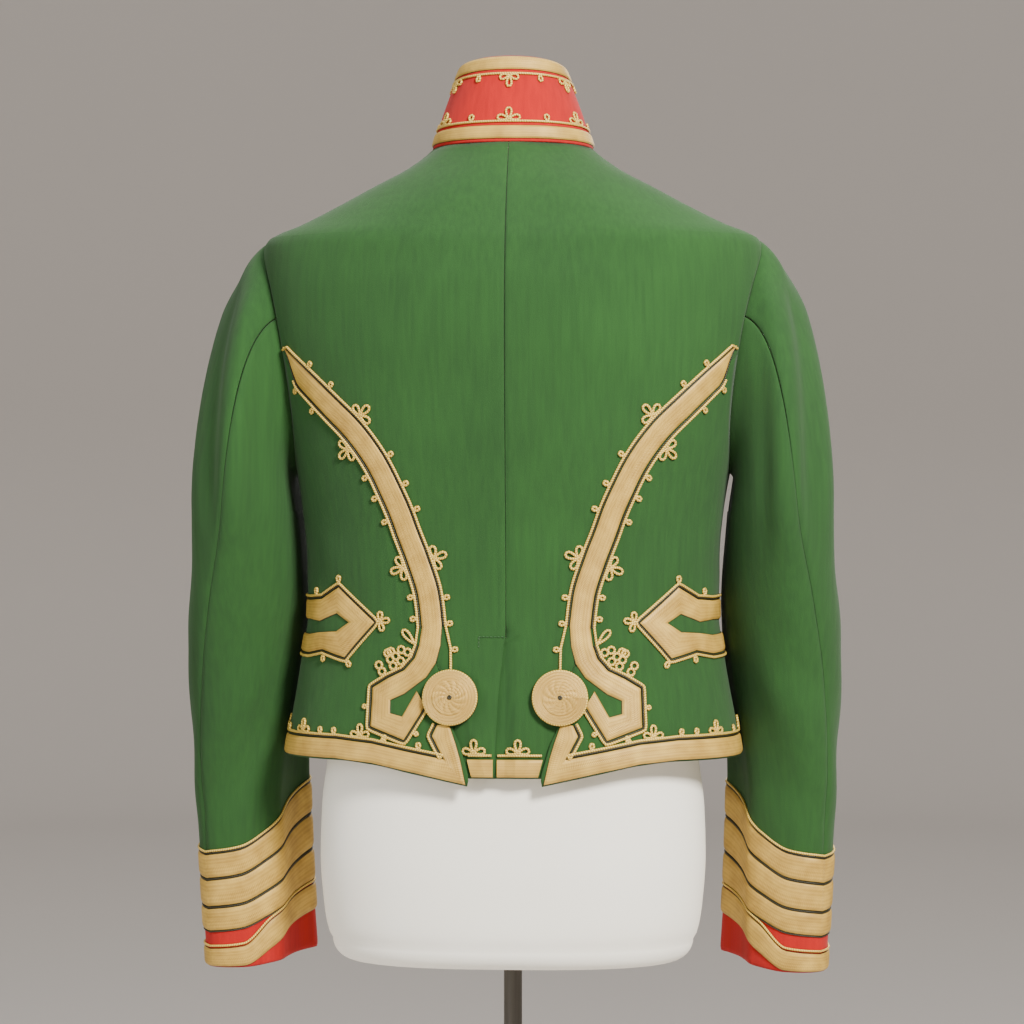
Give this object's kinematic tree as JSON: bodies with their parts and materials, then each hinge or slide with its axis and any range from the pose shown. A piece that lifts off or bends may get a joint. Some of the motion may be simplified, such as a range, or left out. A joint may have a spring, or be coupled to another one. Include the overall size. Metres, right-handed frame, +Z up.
{
  "type": "napoleon jacket on a dress form",
  "caption": "Short uniform jacket with a standing collar, two-piece sleeves, gold lace and rosettes, worn by a limbless dress form on a pole with a round base",
  "frame": {"origin": "on the floor, under the middle of the round base", "axes": "+Z is up, -Y is the way the jacket's back looks and +X is the wearer's right"},
  "size_m": [0.574, 0.36, 1.4936],
  "materials": {
    "green_wool": "green woollen cloth with a short nap",
    "red_wool": "red woollen cloth",
    "gold_lace": "woven gold-coloured lace",
    "brass": "polished domed buttons",
    "form_cover": "cream cotton cover stretched smooth",
    "grey_steel": "dark grey paint, half gloss"
  },
  "bodies": {
    "root": {"back_left": "green_wool", "side_back_left": "green_wool", "front_left": "green_wool", "top_sleeve_left": "green_wool", "under_sleeve_left": "green_wool", "cuff_left": "red_wool", "cuff_lace_1_left": "gold_lace", "cuff_lace_2_left": "gold_lace", "cuff_lace_3_left": "gold_lace", "cuff_lace_4_left": "gold_lace", "side_back_lace_left": "gold_lace", "hem_lace_left": "gold_lace", "back_hem_lace_left": "gold_lace", "side_loop_lace_left": "gold_lace", "rosette_left": "gold_lace", "back_right": "green_wool", "side_back_right": "green_wool", "front_right": "green_wool", "top_sleeve_right": "green_wool", "under_sleeve_right": "green_wool", "cuff_right": "red_wool", "cuff_lace_1_right": "gold_lace", "cuff_lace_2_right": "gold_lace", "cuff_lace_3_right": "gold_lace", "cuff_lace_4_right": "gold_lace", "side_back_lace_right": "gold_lace", "hem_lace_right": "gold_lace", "back_hem_lace_right": "gold_lace", "side_loop_lace_right": "gold_lace", "rosette_right": "gold_lace", "collar": "red_wool", "collar_lace_foot": "gold_lace", "collar_lace_top": "gold_lace", "button_1": "brass", "button_2": "brass", "button_3": "brass", "button_4": "brass", "button_5": "brass", "button_6": "brass", "button_7": "brass", "button_8": "brass", "dress_form": "form_cover", "pole": "grey_steel", "base": "grey_steel"}
  },
  "joints": []
}
